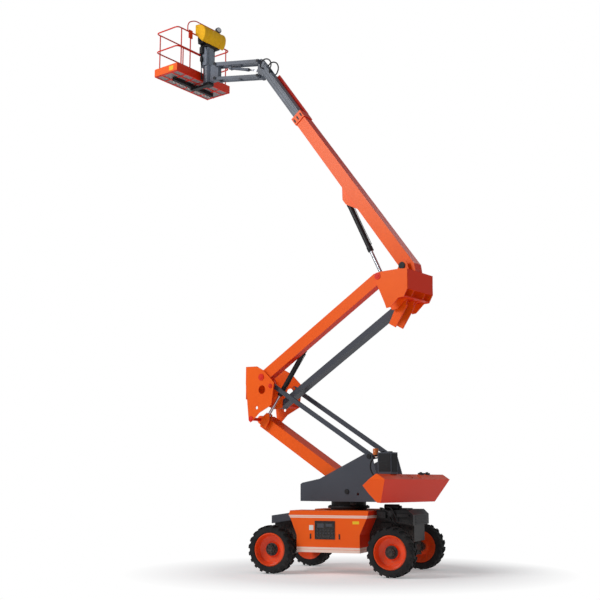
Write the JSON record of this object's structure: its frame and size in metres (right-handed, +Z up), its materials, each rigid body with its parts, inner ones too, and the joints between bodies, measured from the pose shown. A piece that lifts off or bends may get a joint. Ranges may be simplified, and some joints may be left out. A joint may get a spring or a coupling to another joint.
{
  "type": "articulating boom lift",
  "caption": "Self-propelled articulating boom lift: slewing turntable, folding risers, telescopic boom and a jib with a railed work platform.",
  "frame": {"origin": "on the ground under the turntable's slewing axis", "axes": "+Z up, +X in the plane of the booms towards the counterweight, +Y across the booms; the chassis stands turned by 15.26 degrees about +Z"},
  "size_m": [7.0545, 3.262, 12.83],
  "materials": {
    "beacon_lens": "gloss",
    "black_paint": "satin",
    "chrome_rod": "polished",
    "grey_paint": "satin",
    "orange_paint": "gloss",
    "rail_paint": "gloss",
    "tyre": "matte"
  },
  "bodies": {
    "chassis": {"chassis_frame": "black_paint", "side_cover_near": "orange_paint", "side_cover_far": "orange_paint", "engine_hood": "black_paint", "front_cowl": "grey_paint", "front_axle": "black_paint", "rear_axle": "black_paint"},
    "turntable": {"slew_ring": "black_paint", "turntable_frame": "grey_paint", "counterweight": "orange_paint", "cabinet": "grey_paint", "beacon": "beacon_lens"},
    "lower_riser": {"lower_riser": "orange_paint"},
    "lower_links": {"lower_link_near": "grey_paint", "lower_link_far": "grey_paint"},
    "elbow": {"elbow": "orange_paint"},
    "upper_riser": {"upper_riser": "orange_paint"},
    "upper_link": {"upper_link": "grey_paint"},
    "riser_cylinder_barrel": {"riser_cylinder_barrel": "black_paint"},
    "riser_cylinder_rod": {"riser_cylinder_rod": "chrome_rod"},
    "casting": {"casting": "orange_paint"},
    "main_boom": {"main_boom": "orange_paint"},
    "boom_cylinder_barrel": {"boom_cylinder_barrel": "black_paint"},
    "boom_cylinder_rod": {"boom_cylinder_rod": "chrome_rod"},
    "fly_boom": {"fly_boom": "grey_paint"},
    "jib_mount": {"jib_mount": "grey_paint"},
    "jib_upper_arm": {"jib_upper_arm": "grey_paint"},
    "jib_lower_arm": {"jib_lower_arm": "grey_paint"},
    "jib_post": {"jib_post": "grey_paint"},
    "platform": {"platform_floor": "orange_paint", "platform_kick": "orange_paint", "platform_rails": "rail_paint", "platform_column": "grey_paint", "platform_bracket": "black_paint"},
    "knuckle_near": {"knuckle_near": "black_paint"},
    "knuckle_far": {"knuckle_far": "black_paint"},
    "wheel_front_near": {"tyre_front_near": "tyre", "rim_front_near": "orange_paint"},
    "wheel_front_far": {"tyre_front_far": "tyre", "rim_front_far": "orange_paint"},
    "wheel_rear_near": {"tyre_rear_near": "tyre", "rim_rear_near": "orange_paint"},
    "wheel_rear_far": {"tyre_rear_far": "tyre", "rim_rear_far": "orange_paint"}
  },
  "joints": [
    {"name": "turntable_slew", "type": "hinge", "parent": "chassis", "child": "turntable", "pos_m": [0, 0, 1.27], "axis": [0, 0, 1], "range_deg": [-180, 180]},
    {"name": "riser_lift", "type": "hinge", "parent": "turntable", "child": "lower_riser", "pos_m": [0.296, 0, 1.609], "axis": [0, 1, 0], "range_deg": [-31.45, 30.55]},
    {"name": "lower_link_pivot", "type": "hinge", "parent": "turntable", "child": "lower_links", "pos_m": [0.84, 0, 2.306], "axis": [0, 1, 0], "range_deg": [-31.46, 30.56]},
    {"name": "elbow_level", "type": "hinge", "parent": "lower_riser", "child": "elbow", "pos_m": [-2.24281, 0, 3.16174], "axis": [0, 1, 0], "range_deg": [-30.56, 31.46]},
    {"name": "upper_riser_pivot", "type": "hinge", "parent": "elbow", "child": "upper_riser", "pos_m": [-1.95881, 0, 4.06674], "axis": [0, 1, 0], "range_deg": [-30.56, 31.46]},
    {"name": "upper_link_pivot", "type": "hinge", "parent": "elbow", "child": "upper_link", "pos_m": [-1.74781, 0, 3.45774], "axis": [0, 1, 0], "range_deg": [-30.56, 31.46]},
    {"name": "casting_level", "type": "hinge", "parent": "upper_riser", "child": "casting", "pos_m": [1.11489, 0, 5.94662], "axis": [0, 1, 0], "range_deg": [-31.46, 30.56]},
    {"name": "riser_cylinder_pivot", "type": "hinge", "parent": "upper_riser", "child": "riser_cylinder_barrel", "pos_m": [-0.92884, -0.21, 4.68261], "axis": [0, 1, 0], "range_deg": [-8.23, 8]},
    {"name": "riser_cylinder_stroke", "type": "slide", "parent": "riser_cylinder_barrel", "child": "riser_cylinder_rod", "axis": [-0.5921, 0, -0.8059], "range_m": [-0.32737, 0.31803]},
    {"name": "boom_lift", "type": "hinge", "parent": "casting", "child": "main_boom", "pos_m": [1.53689, 0, 6.15962], "axis": [0, 1, 0], "range_deg": [-53.8, 21.2]},
    {"name": "boom_cylinder_pivot", "type": "hinge", "parent": "main_boom", "child": "boom_cylinder_barrel", "pos_m": [0.04312, 0, 7.8298], "axis": [0, 1, 0], "range_deg": [-6.47, 2.55]},
    {"name": "boom_cylinder_stroke", "type": "slide", "parent": "boom_cylinder_barrel", "child": "boom_cylinder_rod", "axis": [0.4411, 0, -0.8975], "range_m": [-0.5046, 0.19944]},
    {"name": "fly_extend", "type": "slide", "parent": "main_boom", "child": "fly_boom", "axis": [-0.5906, 0, 0.807], "range_m": [-1.35, 1.65]},
    {"name": "jib_mount_level", "type": "hinge", "parent": "fly_boom", "child": "jib_mount", "pos_m": [-2.26544, 0, 11.45644], "axis": [0, 1, 0], "range_deg": [-21.21, 53.81]},
    {"name": "jib_lift", "type": "hinge", "parent": "jib_mount", "child": "jib_upper_arm", "pos_m": [-2.45544, 0, 11.69644], "axis": [0, 1, 0], "range_deg": [-60, 60]},
    {"name": "jib_lower_pivot", "type": "hinge", "parent": "jib_mount", "child": "jib_lower_arm", "pos_m": [-2.45544, 0, 11.32644], "axis": [0, 1, 0], "range_deg": [-60.01, 60.01]},
    {"name": "jib_post_level", "type": "hinge", "parent": "jib_upper_arm", "child": "jib_post", "pos_m": [-3.82734, 0, 11.97555], "axis": [0, 1, 0], "range_deg": [-60.01, 60.01]},
    {"name": "platform_rotate", "type": "hinge", "parent": "jib_post", "child": "platform", "pos_m": [-4.15733, 0, 11.97555], "axis": [0, 0, 1], "range_deg": [-75, 75]},
    {"name": "steer_near", "type": "hinge", "parent": "chassis", "child": "knuckle_near", "pos_m": [1.41385, -0.43315, 0.475], "axis": [0, 0, 1], "range_deg": [-25, 25]},
    {"name": "steer_far", "type": "hinge", "parent": "chassis", "child": "knuckle_far", "pos_m": [0.998, 1.09115, 0.475], "axis": [0, 0, 1], "range_deg": [-25.01, 25.01]},
    {"name": "wheel_front_near_spin", "type": "hinge", "parent": "chassis", "child": "wheel_front_near", "pos_m": [-0.92957, -1.34198, 0.475], "axis": [-0.2632, 0.9647, 0], "continuous": true},
    {"name": "wheel_front_far_spin", "type": "hinge", "parent": "chassis", "child": "wheel_front_far", "pos_m": [-1.48229, 0.68398, 0.475], "axis": [-0.2632, 0.9647, 0], "continuous": true},
    {"name": "wheel_rear_near_spin", "type": "hinge", "parent": "knuckle_near", "child": "wheel_rear_near", "pos_m": [1.48229, -0.68398, 0.475], "axis": [-0.2632, 0.9647, 0], "continuous": true},
    {"name": "wheel_rear_far_spin", "type": "hinge", "parent": "knuckle_far", "child": "wheel_rear_far", "pos_m": [0.92957, 1.34198, 0.475], "axis": [-0.2632, 0.9647, 0], "continuous": true}
  ],
  "couplings": [
    {"joint": "lower_link_pivot", "follows": "riser_lift", "ratio": 1},
    {"joint": "elbow_level", "follows": "riser_lift", "ratio": -1},
    {"joint": "upper_riser_pivot", "follows": "riser_lift", "ratio": -1},
    {"joint": "upper_link_pivot", "follows": "riser_lift", "ratio": -1},
    {"joint": "casting_level", "follows": "riser_lift", "ratio": 1},
    {"joint": "riser_cylinder_pivot", "follows": "riser_lift", "ratio": 0.2615},
    {"joint": "riser_cylinder_stroke", "follows": "riser_lift", "m_per_rad": 0.59458},
    {"joint": "boom_cylinder_pivot", "follows": "boom_lift", "ratio": 0.12},
    {"joint": "boom_cylinder_stroke", "follows": "boom_lift", "m_per_rad": 0.53632},
    {"joint": "jib_mount_level", "follows": "boom_lift", "ratio": -1},
    {"joint": "jib_lower_pivot", "follows": "jib_lift", "ratio": 1},
    {"joint": "jib_post_level", "follows": "jib_lift", "ratio": -1},
    {"joint": "steer_far", "follows": "steer_near", "ratio": 1}
  ]
}
